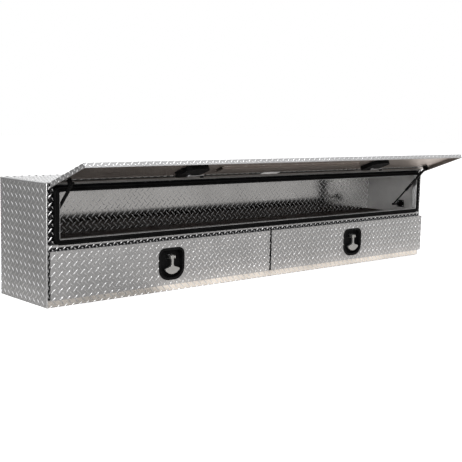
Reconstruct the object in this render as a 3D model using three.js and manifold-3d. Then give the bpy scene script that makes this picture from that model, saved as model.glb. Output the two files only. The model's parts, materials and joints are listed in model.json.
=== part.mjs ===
// Top-side truck tool box in tread-plate aluminium: a long chest with one flip-up door on gas
// struts over the upper compartment and two full-extension drawers side by side below it.
// Millimetres, +X along the length, -Y towards the front, +Z up, origin under the centre.
// The door is built shut and its group is then swung up to the open stop, its rest position.

import * as THREE from 'three';
import { mergeVertices } from 'three/addons/utils/BufferGeometryUtils.js';
import Module from 'manifold-3d';

const wasm = await Module();
wasm.setup();

// Driving dimensions
const LENGTH = 2235;
const DEPTH = 343;
const HEIGHT = 457;
const SHEET = 2;
const GAP = 0.3;
const BEND_RADIUS = 5;

const DOOR_OPEN_DEG = 110.5;
const FRONT_DEPTH = 19;
const FLANGE_CLEARANCE = 1.2;
const DOOR_BOTTOM = 213;
const DOOR_TOP = 448.5;
const DOOR_SIDE_MARGIN = 3;

const SEAL_MARGIN = 27;
const SEAL_WIDTH = 19.7;
const SEAL_TOP = 444;
const SEAL_BOTTOM = 228;
const SEAL_DEPTH = 14.5;
const COLLAR_DEPTH = 12;

const DRAWER_BOTTOM = 29;
const DRAWER_TOP = 209;
const DRAWER_CENTRE_GAP = 9;
const BAY_BOTTOM = 30;
const BAY_TOP = 205;
const CENTRE_POST = 40;
const TRAY_BOTTOM = 34;
const TRAY_TOP = 196;
const TRAY_DEPTH = 316;
const SLIDE_BAR = 4;
const SLIDE_GAP = 0.7;
const FLOOR_LEVEL = 216;

const HINGE_RADIUS = 3.8;
const HINGE_PIN_RADIUS = 1.4;
const HINGE_BORE = 1.8;
const HINGE_LEAF = 1.2;
const HINGE_LENGTH = 2216;
const KNUCKLES = 20;

const LATCH_WIDTH = 130;
const LATCH_HEIGHT = 131;
const LATCH_RIM = 9;
const LATCH_WALL = 2;
const LATCH_POCKET = 18;
const LATCH_TOP_CORNER = 30;
const LATCH_BOTTOM_CORNER = 50;
const HEAD_ABOVE_CENTRE = 28;
const DRAWER_LATCH_Z = 114;
const DOOR_LATCH_Z = 318;
const DRAWER_CAM = 57;
const DOOR_CAM = 70;

const STRUT_X = 1052;
const STRUT_WALL = { y: 120, z: 262 };
const STRUT_DOOR = { y: 0, z: 402 };
const ROD_RADIUS = 3.5;
const ROD_LENGTH = 145;
const BARREL_RADIUS = 6.5;
const BARREL_LENGTH = 160;
const EYE_RADIUS = 4.8;

const HALF = LENGTH / 2;
const FRONT = -DEPTH / 2;
const BACK = DEPTH / 2;
const HINGE = { y: FRONT - FRONT_DEPTH + 4, z: 453 };
const SIDES = [['left', -1], ['right', 1]];

const COLOURS = {
  tread: [0xb9babb, 0.35, 0.9],
  steel: [0xa5a6a6, 0.3, 1.0],
  black: [0x141414, 0.5, 0.1],
  rubber: [0x0b0b0b, 0.7, 0.0],
  handle: [0x9c9c9a, 0.35, 1.0],
};

// Geometry helpers

function mesh(name, geometry, look) {
  const [color, roughness, metalness] = COLOURS[look];
  const item = new THREE.Mesh(geometry, new THREE.MeshStandardMaterial({ color, roughness, metalness }));
  item.name = name;
  return item;
}

function box(x0, x1, y0, y1, z0, z1) {
  const geometry = new THREE.BoxGeometry(x1 - x0, y1 - y0, z1 - z0);
  return geometry.translate((x0 + x1) / 2, (y0 + y1) / 2, (z0 + z1) / 2);
}

// A box on one side of the centre plane, given by its distances from that plane.
function sideBox(side, near, far, y0, y1, z0, z1) {
  return side < 0 ? box(-far, -near, y0, y1, z0, z1) : box(near, far, y0, y1, z0, z1);
}

function solid(geometry) {
  const bare = geometry.clone();
  bare.deleteAttribute('normal');
  bare.deleteAttribute('uv');
  const merged = mergeVertices(bare, 1e-4);
  return new wasm.Manifold(new wasm.Mesh({
    numProp: 3,
    vertProperties: new Float32Array(merged.attributes.position.array),
    triVerts: new Uint32Array(merged.index.array),
  }));
}

function geometryOf(manifold) {
  const result = manifold.getMesh();
  const geometry = new THREE.BufferGeometry();
  geometry.setAttribute('position', new THREE.BufferAttribute(result.vertProperties, 3));
  geometry.setIndex(new THREE.BufferAttribute(result.triVerts, 1));
  geometry.computeVertexNormals();
  return geometry;
}

function combine(added, removed = []) {
  let whole = solid(added[0]);
  for (const piece of added.slice(1)) whole = whole.add(solid(piece));
  for (const piece of removed) whole = whole.subtract(solid(piece));
  return geometryOf(whole);
}

function cylinder(radius, length, axis, segments = 16) {
  const geometry = new THREE.CylinderGeometry(radius, radius, length, segments);
  if (axis === 'x') geometry.rotateZ(Math.PI / 2);
  if (axis === 'z') geometry.rotateX(Math.PI / 2);
  return geometry;
}

// A front-facing plate: its outline is drawn in X and Z, and it fills y0 to y1.
function frontPlate(shape, y0, y1) {
  const geometry = new THREE.ExtrudeGeometry(shape, { depth: y1 - y0, bevelEnabled: false, curveSegments: 6 });
  return geometry.rotateX(Math.PI / 2).translate(0, y1, 0);
}

// A section drawn in Y and Z, pulled along the length from x0 to x1.
function lengthwise(shape, x0, x1) {
  const geometry = new THREE.ExtrudeGeometry(shape, { depth: x1 - x0, bevelEnabled: false, curveSegments: 4 });
  const turn = new THREE.Matrix4().makeBasis(
    new THREE.Vector3(0, 1, 0), new THREE.Vector3(0, 0, 1), new THREE.Vector3(1, 0, 0));
  return geometry.applyMatrix4(turn).translate(x0, 0, 0);
}

// The flush latch's outline: flat top with round corners, and a half circle below.
function latchOutline(inset) {
  const half = LATCH_WIDTH / 2 - inset;
  const top = LATCH_HEIGHT / 2 - inset;
  const topCorner = LATCH_TOP_CORNER - inset;
  const bottomCorner = LATCH_BOTTOM_CORNER - inset;
  const shape = new THREE.Shape();
  shape.moveTo(-half, -top + bottomCorner);
  shape.absarc(-half + bottomCorner, -top + bottomCorner, bottomCorner, Math.PI, 1.5 * Math.PI, false);
  shape.absarc(half - bottomCorner, -top + bottomCorner, bottomCorner, 1.5 * Math.PI, 2 * Math.PI, false);
  shape.absarc(half - topCorner, top - topCorner, topCorner, 0, Math.PI / 2, false);
  shape.absarc(-half + topCorner, top - topCorner, topCorner, Math.PI / 2, Math.PI, false);
  shape.closePath();
  return shape;
}

// The T handle's outline about its pivot: round head, waisted stem and a crescent bar.
function handleOutline() {
  const headRadius = 7.5;
  const headHalf = 6.3;
  const waistHalf = 5;
  const footHalf = 36;
  const footTop = -42;
  const footBottom = -68.5;
  const shape = new THREE.Shape();
  const neck = Math.asin(headHalf / headRadius);
  shape.absarc(0, 0, headRadius, -Math.PI / 2 + neck, 1.5 * Math.PI - neck, false);
  shape.quadraticCurveTo(-waistHalf, -12, -waistHalf, -30);
  shape.quadraticCurveTo(-waistHalf - 2, footTop + 3, -footHalf + 14, footTop);
  shape.quadraticCurveTo(-footHalf + 1, footTop - 2, -footHalf, footTop - 7);
  shape.quadraticCurveTo(-footHalf, footTop - 11, -footHalf + 6, footTop - 15);
  shape.quadraticCurveTo(-footHalf / 2, footBottom, 0, footBottom);
  shape.quadraticCurveTo(footHalf / 2, footBottom, footHalf - 6, footTop - 15);
  shape.quadraticCurveTo(footHalf, footTop - 11, footHalf, footTop - 7);
  shape.quadraticCurveTo(footHalf - 1, footTop - 2, footHalf - 14, footTop);
  shape.quadraticCurveTo(waistHalf + 2, footTop + 3, waistHalf, -30);
  shape.quadraticCurveTo(waistHalf, -12, headHalf, -headRadius * Math.cos(neck));
  return shape;
}

// Body sheets

function bodyShell() {
  const noseFront = FRONT - 10.7;
  const shape = new THREE.Shape();
  shape.moveTo(noseFront, HEIGHT - SHEET);
  shape.lineTo(noseFront, HEIGHT);
  shape.lineTo(BACK - BEND_RADIUS, HEIGHT);
  shape.absarc(BACK - BEND_RADIUS, HEIGHT - BEND_RADIUS, BEND_RADIUS, Math.PI / 2, 0, true);
  shape.lineTo(BACK, BEND_RADIUS);
  shape.absarc(BACK - BEND_RADIUS, BEND_RADIUS, BEND_RADIUS, 0, -Math.PI / 2, true);
  shape.lineTo(FRONT, 0);
  shape.lineTo(FRONT, SHEET);
  shape.lineTo(BACK - SHEET, SHEET);
  shape.lineTo(BACK - SHEET, HEIGHT - SHEET);
  shape.closePath();
  const end = HALF - SHEET - GAP;
  return mesh('body_shell', lengthwise(shape, -end, end), 'tread');
}

function endPanel(name, side) {
  const shape = new THREE.Shape();
  const r = BEND_RADIUS;
  shape.moveTo(FRONT, 0);
  shape.lineTo(FRONT, HEIGHT);
  shape.lineTo(BACK - r, HEIGHT);
  shape.absarc(BACK - r, HEIGHT - r, r, Math.PI / 2, 0, true);
  shape.lineTo(BACK, r);
  shape.absarc(BACK - r, r, r, 0, -Math.PI / 2, true);
  shape.closePath();
  const inner = side * (HALF - SHEET);
  const outer = side * HALF;
  return mesh(`${name}_end_panel`, lengthwise(shape, Math.min(inner, outer), Math.max(inner, outer)), 'tread');
}

function frontFrame() {
  const edge = HALF - SHEET - GAP;
  const bayOuter = HALF - SEAL_MARGIN;
  const opening = HALF - SEAL_MARGIN - SEAL_WIDTH;
  const sheet = box(-edge, edge, FRONT, FRONT + SHEET, SHEET + GAP, HEIGHT - SHEET - 2 * GAP);
  const holes = [
    [-opening, opening, SEAL_BOTTOM + SEAL_WIDTH, SEAL_TOP - SEAL_WIDTH],
    [-bayOuter, -CENTRE_POST / 2, BAY_BOTTOM, BAY_TOP],
    [CENTRE_POST / 2, bayOuter, BAY_BOTTOM, BAY_TOP],
  ].map(([x0, x1, z0, z1]) => box(x0, x1, FRONT - 5, FRONT + SHEET + 5, z0, z1));
  return mesh('front_frame', combine([sheet], holes), 'tread');
}

function ring(marginOut, marginIn, y0, y1) {
  const across = HALF - SEAL_MARGIN;
  const block = (margin, front, back) => box(
    -across + margin, across - margin, front, back, SEAL_BOTTOM + margin, SEAL_TOP - margin);
  return combine([block(marginOut, y0, y1)], [block(marginIn, y0 - 5, y1 + 5)]);
}

function openingPieces() {
  const collarOuter = SEAL_WIDTH + GAP;
  const collar = ring(collarOuter, collarOuter + SHEET, FRONT - COLLAR_DEPTH, FRONT + COLLAR_DEPTH);
  const seal = ring(0, SEAL_WIDTH, FRONT - SEAL_DEPTH, FRONT - GAP);
  return [mesh('opening_collar', collar, 'tread'), mesh('door_seal', seal, 'rubber')];
}

function innerSheets() {
  const end = HALF - SHEET - GAP;
  const y0 = FRONT + SHEET + GAP;
  const y1 = BACK - SHEET - GAP;
  const floor = box(-end, end, y0, y1, FLOOR_LEVEL - SHEET, FLOOR_LEVEL);
  const divider = box(-SHEET / 2, SHEET / 2, y0, y1, SHEET + GAP, FLOOR_LEVEL - SHEET - GAP);
  return [mesh('compartment_floor', floor, 'steel'), mesh('drawer_divider', divider, 'steel')];
}

function namePlate() {
  const back = FRONT - FRONT_DEPTH + SHEET + GAP;
  const plate = box(-95, 5, back, back + 2, 403, 428);
  return mesh('blank_name_plate', plate, 'steel');
}

// Piano hinge: knuckles alternate between the body's leaf and the door's leaf.

function hingeLeaf(first, leaf, tab) {
  const pitch = HINGE_LENGTH / KNUCKLES;
  const added = [leaf];
  for (let i = first; i < KNUCKLES; i += 2) {
    const x0 = -HINGE_LENGTH / 2 + i * pitch + GAP / 2;
    const x1 = x0 + pitch - GAP;
    added.push(tab(x0, x1));
    added.push(cylinder(HINGE_RADIUS, x1 - x0, 'x', 12).translate((x0 + x1) / 2, HINGE.y, HINGE.z));
  }
  const bore = cylinder(HINGE_BORE, HINGE_LENGTH + 20, 'x', 8).translate(0, HINGE.y, HINGE.z);
  return combine(added, [bore]);
}

function bodyHinge() {
  const half = HINGE_LENGTH / 2;
  const top = HEIGHT - SHEET - GAP;
  const front = HINGE.y + HINGE_RADIUS + GAP;
  const leaf = box(-half, half, front, FRONT - GAP, top - HINGE_LEAF, top);
  const tab = (x0, x1) => box(x0, x1, HINGE.y + HINGE_BORE + 0.6, front + 1, top - HINGE_LEAF, top);
  const pin = cylinder(HINGE_PIN_RADIUS, HINGE_LENGTH, 'x', 12).translate(0, HINGE.y, HINGE.z);
  return [mesh('hinge_body_leaf', hingeLeaf(0, leaf, tab), 'steel'), mesh('hinge_pin', pin, 'steel')];
}

function doorHinge() {
  const half = HINGE_LENGTH / 2;
  const back = FRONT - FRONT_DEPTH + SHEET + GAP;
  const top = HINGE.z - HINGE_RADIUS - GAP;
  const leaf = box(-half, half, back, back + HINGE_LEAF, top - 20, top);
  const tab = (x0, x1) => box(x0, x1, back, back + HINGE_LEAF, top - 1, HINGE.z - HINGE_BORE - 0.6);
  return mesh('hinge_door_leaf', hingeLeaf(1, leaf, tab), 'steel');
}

// A pan-shaped front: outer sheet with flanges turned back, and cut-outs for its latches.

function panFront(x0, x1, z0, z1, latches, closedTop) {
  const face = FRONT - FRONT_DEPTH;
  const rear = FRONT - FLANGE_CLEARANCE;
  const innerTop = closedTop ? z1 - SHEET : z1 + 10;
  const removed = [box(x0 + SHEET, x1 - SHEET, face + SHEET, rear + 10, z0 + SHEET, innerTop)];
  for (const [x, z] of latches) {
    removed.push(frontPlate(latchOutline(LATCH_RIM - 1 - GAP), face - 5, face + 10).translate(x, 0, z));
  }
  return combine([box(x0, x1, face, rear, z0, z1)], removed);
}

// Flush T-handle latch. The handle folds about its head, and the cam behind turns with it.
// The cam bar points up at camTurn 0, and towards +X at a quarter turn.

function latch(name, x, z, camLength, camTurn) {
  const face = FRONT - FRONT_DEPTH;
  const floor = face + LATCH_POCKET;
  const rim = 1.6;
  const headZ = z + HEAD_ABOVE_CENTRE;
  const handleY = face - 2;
  const thickness = 9;
  const cheekNear = 8;
  const cheekThick = 4;
  const cheekRadius = 8;
  const cheeks = [-1, 1].map((side) => combine([
    sideBox(side, cheekNear, cheekNear + cheekThick, handleY, floor + 1, -cheekRadius, cheekRadius),
    cylinder(cheekRadius, cheekThick, 'x').translate(side * (cheekNear + cheekThick / 2), handleY, 0),
  ]).translate(x, 0, headZ));
  const dish = combine(
    [frontPlate(latchOutline(0), face - GAP - rim, face - GAP).translate(x, 0, z),
      frontPlate(latchOutline(LATCH_RIM - 1), face - GAP - 0.5, floor + LATCH_WALL).translate(x, 0, z)],
    [frontPlate(latchOutline(LATCH_RIM + 1), face - 10, floor).translate(x, 0, z)]);
  const spindleHole = cylinder(8.4, 20, 'y').translate(x, floor, headZ);
  const pinHole = cylinder(2.9, 60, 'x', 12).translate(x, handleY, headZ);
  const housing = geometryOf(solid(dish).subtract(solid(spindleHole))
    .add(solid(cheeks[0])).add(solid(cheeks[1])).subtract(solid(pinHole)));

  const blade = frontPlate(handleOutline(), -thickness / 2, thickness / 2);
  const crossPin = cylinder(2.5, 2 * (cheekNear + cheekThick), 'x', 12);
  const handle = mesh(`${name}_handle`, combine([blade, crossPin]), 'handle');
  handle.position.set(x, handleY, headZ);

  const spindleBack = floor + LATCH_WALL + 2;
  const spindle = cylinder(8, spindleBack - floor - 0.5, 'y');
  const spindleMesh = mesh(`${name}_spindle`, spindle, 'steel');
  spindleMesh.position.set(x, (floor + 0.5 + spindleBack) / 2, headZ);

  const bar = box(-8, 8, spindleBack + GAP, spindleBack + GAP + 3, 0, camLength);
  const boss = cylinder(11, 3, 'y').translate(0, spindleBack + GAP + 1.5, 0);
  const cam = mesh(`${name}_cam`, combine([bar, boss]), 'steel');
  cam.position.set(x, 0, headZ);
  cam.rotation.y = camTurn;
  return [mesh(`${name}_dish`, housing, 'black'), handle, spindleMesh, cam];
}

// Upper door with its two latches, hinge leaf and strut brackets, built shut.

function doorPieces() {
  const edge = HALF - DOOR_SIDE_MARGIN;
  const latchX = LENGTH / 4;
  const inner = FRONT - FRONT_DEPTH + SHEET + GAP;
  const pan = panFront(-edge, edge, DOOR_BOTTOM, DOOR_TOP,
    [[-latchX, DOOR_LATCH_Z], [latchX, DOOR_LATCH_Z]], false);
  const pieces = [mesh('door_pan', pan, 'tread'), doorHinge(), namePlate()];
  const rib = combine([box(-420, 420, inner, inner + 10, 300, 340)], [box(-430, 430, inner - 5, inner + 8, 303, 337)]);
  const lips = [box(-420, 420, inner, inner + 2, 288, 302), box(-420, 420, inner, inner + 2, 338, 352)];
  pieces.push(mesh('door_stiffener', combine([rib, ...lips]), 'tread'));
  for (const [name, side] of SIDES) {
    pieces.push(...latch(`door_${name}_latch`, side * latchX, DOOR_LATCH_Z, DOOR_CAM, Math.PI / 2));
    const socketEnd = STRUT_X + 6 + GAP;
    const plateNear = socketEnd + 2.5;
    const y = FRONT + STRUT_DOOR.y;
    const plate = sideBox(side, plateNear, plateNear + 3, inner, y + 5, STRUT_DOOR.z - 14, STRUT_DOOR.z + 14);
    const foot = sideBox(side, plateNear, plateNear + 6.5, inner, inner + 1.5, STRUT_DOOR.z - 14, STRUT_DOOR.z + 14);
    const stud = cylinder(3, 4, 'x', 12).translate(side * (socketEnd + 2), y, STRUT_DOOR.z);
    pieces.push(mesh(`${name}_strut_door_bracket`, combine([plate, foot, stud]), 'black'));
  }
  return pieces;
}

function doorGroup() {
  const shut = new THREE.Group();
  shut.position.set(0, -HINGE.y, -HINGE.z);
  shut.add(...doorPieces());
  const swung = new THREE.Group();
  swung.position.set(0, HINGE.y, HINGE.z);
  swung.rotation.x = -THREE.MathUtils.degToRad(DOOR_OPEN_DEG);
  swung.add(shut);
  return swung;
}

// Gas struts: the rod turns on a stud in the end wall, and the barrel slides on the rod.

function strutPieces(name, side) {
  const wall = new THREE.Vector2(FRONT + STRUT_WALL.y, STRUT_WALL.z);
  const pivot = new THREE.Vector2(HINGE.y, HINGE.z);
  const top = new THREE.Vector2(FRONT + STRUT_DOOR.y, STRUT_DOOR.z)
    .rotateAround(pivot, -THREE.MathUtils.degToRad(DOOR_OPEN_DEG));
  const reach = top.distanceTo(wall);
  const lean = Math.atan2(top.y - wall.y, top.x - wall.x) - Math.PI / 2;

  const strut = new THREE.Group();
  strut.position.set(side * STRUT_X, wall.x, wall.y);
  strut.rotation.x = lean;
  const rodEye = cylinder(EYE_RADIUS + 1, 12, 'x');
  const rodBar = cylinder(ROD_RADIUS, ROD_LENGTH, 'z', 12).translate(0, 0, ROD_LENGTH / 2);
  strut.add(mesh(`${name}_strut_rod`, combine([rodEye, rodBar]), 'black'));

  const low = reach - BARREL_LENGTH;
  const boreTop = reach - 14;
  const profile = [[ROD_RADIUS + 0.4, low], [BARREL_RADIUS, low], [BARREL_RADIUS, reach - 10],
    [3.5, reach - 7], [3.5, reach], [0, reach], [0, boreTop], [ROD_RADIUS + 0.4, boreTop],
    [ROD_RADIUS + 0.4, low]].map(([x, y]) => new THREE.Vector2(x, y));
  const tube = new THREE.LatheGeometry(profile, 14).rotateX(Math.PI / 2);
  const socket = cylinder(EYE_RADIUS, 12, 'x').translate(0, 0, reach);
  strut.add(mesh(`${name}_strut_barrel`, combine([tube, socket]), 'black'));

  const plateOut = HALF - SHEET - GAP;
  const studEnd = STRUT_X + 6 + GAP;
  const plate = sideBox(side, plateOut - 3, plateOut, wall.x - 22, wall.x + 22, wall.y - 18, wall.y + 18);
  const stud = cylinder(5, plateOut - 1 - studEnd, 'x').translate(side * (plateOut - 1 + studEnd) / 2, wall.x, wall.y);
  return [strut, mesh(`${name}_strut_wall_bracket`, combine([plate, stud]), 'black')];
}

// One drawer: pan front, open-fronted tray, flat telescopic slide bars and its latch.

function drawerPieces(name, side) {
  const near = DRAWER_CENTRE_GAP / 2;
  const far = HALF - DOOR_SIDE_MARGIN;
  const latchX = side * LENGTH / 4;
  const [x0, x1] = side < 0 ? [-far, -near] : [near, far];
  const front = panFront(x0, x1, DRAWER_BOTTOM, DRAWER_TOP, [[latchX, DRAWER_LATCH_Z]], true);
  const pieces = [mesh(`${name}_drawer_front`, front, 'tread')];

  const slideRoom = 3 * SLIDE_BAR + 2 * SLIDE_GAP;
  const bayNear = CENTRE_POST / 2;
  const bayFar = HALF - SEAL_MARGIN;
  const trayNear = bayNear + slideRoom + 2 * GAP;
  const trayFar = bayFar - slideRoom - 2 * GAP;
  const y0 = FRONT - FRONT_DEPTH + SHEET + GAP;
  const y1 = FRONT + TRAY_DEPTH;
  const tray = combine([sideBox(side, trayNear, trayFar, y0, y1, TRAY_BOTTOM, TRAY_TOP)],
    [sideBox(side, trayNear + SHEET, trayFar - SHEET, y0 - 5, y1 - SHEET, TRAY_BOTTOM + SHEET, TRAY_TOP + 5)]);
  pieces.push(mesh(`${name}_drawer_tray`, tray, 'steel'));

  const middle = (TRAY_BOTTOM + TRAY_TOP) / 2;
  const bars = [['fixed', 22, FRONT + SHEET + 0.5, BACK - SHEET - 0.5],
    ['middle', 17, FRONT + 6, FRONT + 312], ['inner', 12, FRONT + 4, FRONT + 312]];
  for (const [place, wall, inward] of [['outer', bayFar, -1], ['centre', bayNear, 1]]) {
    bars.forEach(([bar, half, front0, back0], i) => {
      const start = wall + inward * (GAP + i * (SLIDE_BAR + SLIDE_GAP));
      const end = start + inward * SLIDE_BAR;
      const strip = sideBox(side, Math.min(start, end), Math.max(start, end), front0, back0,
        middle - half, middle + half);
      pieces.push(mesh(`${name}_${place}_slide_${bar}`, strip, 'steel'));
    });
  }

  pieces.push(...latch(`${name}_drawer_latch`, latchX, DRAWER_LATCH_Z, DRAWER_CAM, 0));
  const keeper = FRONT + SHEET + GAP;
  const hook = combine([box(-20, 20, keeper, FRONT + 12, 211.7, 213.7),
    box(-20, 20, keeper, keeper + 1.8, 202, 213.7)]).translate(latchX, 0, 0);
  pieces.push(mesh(`${name}_drawer_striker`, hook, 'steel'));
  return pieces;
}

const toolBox = new THREE.Group();
toolBox.add(bodyShell(), frontFrame(), ...openingPieces(), ...innerSheets(), ...bodyHinge());
for (const [name, side] of SIDES) {
  toolBox.add(endPanel(name, side), ...strutPieces(name, side), ...drawerPieces(name, side));
}
toolBox.add(doorGroup());

export default toolBox;
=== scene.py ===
import json
import math

import bmesh
import bpy
from bpy.props import FloatProperty, FloatVectorProperty, PointerProperty
from mathutils import Matrix, Vector


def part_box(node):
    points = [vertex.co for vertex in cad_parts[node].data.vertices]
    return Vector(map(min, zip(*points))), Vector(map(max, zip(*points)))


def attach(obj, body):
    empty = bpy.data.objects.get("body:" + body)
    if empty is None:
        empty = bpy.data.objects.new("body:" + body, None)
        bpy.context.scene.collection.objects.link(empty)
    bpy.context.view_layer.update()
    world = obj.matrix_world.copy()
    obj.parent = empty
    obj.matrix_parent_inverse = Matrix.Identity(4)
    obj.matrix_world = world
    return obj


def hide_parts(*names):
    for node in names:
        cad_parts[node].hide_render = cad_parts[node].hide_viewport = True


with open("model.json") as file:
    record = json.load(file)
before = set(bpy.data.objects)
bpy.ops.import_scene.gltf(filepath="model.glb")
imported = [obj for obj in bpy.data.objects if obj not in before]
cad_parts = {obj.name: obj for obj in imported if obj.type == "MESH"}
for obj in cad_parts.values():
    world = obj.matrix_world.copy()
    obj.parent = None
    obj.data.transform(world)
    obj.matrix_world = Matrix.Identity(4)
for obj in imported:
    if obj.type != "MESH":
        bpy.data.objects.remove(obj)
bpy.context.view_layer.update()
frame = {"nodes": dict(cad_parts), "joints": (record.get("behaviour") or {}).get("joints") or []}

bl_info = {
    "name": "Truck Tool Box",
    "version": (1, 0, 0),
    "blender": (4, 5, 0),
    "location": "3D View > Sidebar > Tool Box",
    "description": "Finishes a tread-plate truck tool box round its mechanical frame",
    "category": "Object",
}

MM = 0.001
SIDES = ("left", "right")
NODES = frame["nodes"]
JOINTS = {joint["name"]: joint for joint in frame["joints"]}


# ---------------------------------------------------------------- sizes read from the frame

def shut_matrix():
    """Turns a point of the open door to where it lies with the door shut."""
    hinge = JOINTS["door_hinge"]
    pivot = Vector(hinge["pos_m"])
    turn = Matrix.Rotation(math.radians(hinge["range_deg"][1]), 4, "X")
    return Matrix.Translation(pivot) @ turn @ Matrix.Translation(-pivot)


SHUT = shut_matrix()
OPEN = SHUT.inverted()
STRAIGHT = Matrix.Identity(4)


def straight_box(node, to_straight=STRAIGHT):
    """Lowest and highest corner of a node after it is turned straight."""
    points = [to_straight @ v.co for v in NODES[node].data.vertices]
    low = Vector([min(p[i] for p in points) for i in range(3)])
    high = Vector([max(p[i] for p in points) for i in range(3)])
    return low, high


# ---------------------------------------------------------------- settings

class ToolBoxTread(bpy.types.PropertyGroup):
    pitch: FloatProperty(name="Pitch", description="Distance between lugs that lean the same way",
                         default=31.5 * MM, unit="LENGTH")
    lug_length: FloatProperty(name="Lug Length", description="Length of one raised lug",
                              default=27.0 * MM, unit="LENGTH")
    lug_width: FloatProperty(name="Lug Width", description="Width of one raised lug",
                             default=5.6 * MM, unit="LENGTH")
    lug_height: FloatProperty(name="Lug Height", description="How far a lug stands off the plate",
                              default=1.6 * MM, unit="LENGTH")
    lining_height: FloatProperty(name="Lining Relief",
                                 description="How far the lugs show on the back wall inside",
                                 default=0.18 * MM, unit="LENGTH")
    end_height: FloatProperty(name="End Lug Height", description="Lug height on the end panels",
                              default=1.4 * MM, unit="LENGTH")
    frame_height: FloatProperty(name="Frame Lug Height",
                                description="Lug height on the front frame, under a shut rim",
                                default=0.9 * MM, unit="LENGTH")
    edge_margin: FloatProperty(name="Edge Margin", description="Plain strip left along a bent edge",
                               default=1.0 * MM, unit="LENGTH")


class ToolBoxHardware(bpy.types.PropertyGroup):
    edge_round: FloatProperty(name="Edge Round", description="Rounding of cut sheet edges",
                              default=0.5 * MM, unit="LENGTH")
    rivet_radius: FloatProperty(name="Rivet Radius", description="Radius of a rivet's head",
                                default=3.6 * MM, unit="LENGTH")
    rivet_height: FloatProperty(name="Rivet Height", description="Height of a rivet's head",
                                default=1.5 * MM, unit="LENGTH")
    knuckle_length: FloatProperty(name="Knuckle Length", description="Length of one piano hinge knuckle",
                                  default=25.4 * MM, unit="LENGTH")
    top_roll: FloatProperty(name="Top Roll", description="Radius of the seam over each end",
                            default=3.6 * MM, unit="LENGTH")
    side_roll: FloatProperty(name="Side Roll", description="Radius of the other end seams",
                             default=2.4 * MM, unit="LENGTH")
    seal_corner: FloatProperty(name="Seal Corner", description="Radius of the seal's centre line at a corner",
                               default=18.0 * MM, unit="LENGTH")
    hem_width: FloatProperty(name="Hem Width",
                             description="Width of the folded hem inside the door at the hinge",
                             default=27.0 * MM, unit="LENGTH")


class ToolBoxColours(bpy.types.PropertyGroup):
    plate: FloatVectorProperty(name="Plate", description="Outer face of the tread plate",
                               default=(0.60, 0.60, 0.605), subtype="COLOR")
    # partly real wear and partly painted highlight: the lug tops are made much lighter than the plate,
    # standing in both for their worn tops and for the highlights the lugs catch
    lug: FloatVectorProperty(name="Lug", description="Worn tops of the lugs",
                             default=(0.80, 0.80, 0.805), subtype="COLOR")
    # painted reflection: the warm, bright sill colour stands for the sunlit ground that the front frame's
    # bottom bend mirrors
    sill: FloatVectorProperty(name="Sill", description="Warm, bright strip along the bottom bend",
                              default=(0.95, 0.90, 0.84), subtype="COLOR")
    lining: FloatVectorProperty(name="Lining", description="Smooth inner face of the sheets",
                                default=(0.56, 0.555, 0.55), subtype="COLOR")
    # painted light: the end panels' inner face is the same smooth sheet as the lining, made much lighter to
    # stand for the light that falls on it through the opening
    lit_end_lining: FloatVectorProperty(name="Lit End Lining", description="Inner face of the end panels",
                                    default=(0.86, 0.85, 0.84), subtype="COLOR")
    shaded: FloatVectorProperty(name="Shaded Sheet",
                                description="Compartment floor and the frame's inner face",
                                default=(0.030, 0.022, 0.019), subtype="COLOR")
    # painted reflection: the door's inner face is the same smooth sheet as the lining, made darker and brown
    # to stand for the dark brown surround that it mirrors
    underside: FloatVectorProperty(name="Door Inside", description="Smooth inner face of the door",
                                   default=(0.46, 0.41, 0.38), subtype="COLOR")
    # painted shade and dark reflection: this near-black stands for the shade on the uprights and head beside
    # the opening, on the band above the drawers and on the drawers' side flanges; it is not the metal's own
    # colour
    painted_shade: FloatVectorProperty(name="Jamb", description="Dark polished upright beside the opening",
                              default=(0.015, 0.015, 0.017), subtype="COLOR")
    # partly real mill finish and partly painted shade: the hinge and hem colour is darkened because they lie
    # in the open door's shade
    hinge: FloatVectorProperty(name="Hinge", description="Mill finish of the piano hinge and the door's hem",
                               default=(0.22, 0.22, 0.215), subtype="COLOR")
    handle: FloatVectorProperty(name="Handle", description="Satin stainless T handles",
                                default=(0.62, 0.615, 0.60), subtype="COLOR")
    zinc: FloatVectorProperty(name="Zinc", description="Zinc plated steel",
                              default=(0.66, 0.66, 0.67), subtype="COLOR")
    black: FloatVectorProperty(name="Black Coat", description="Textured powder coat of the latches",
                               default=(0.004, 0.004, 0.0042), subtype="COLOR")
    rubber: FloatVectorProperty(name="Rubber", description="Door seal",
                                default=(0.004, 0.004, 0.0042), subtype="COLOR")


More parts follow.
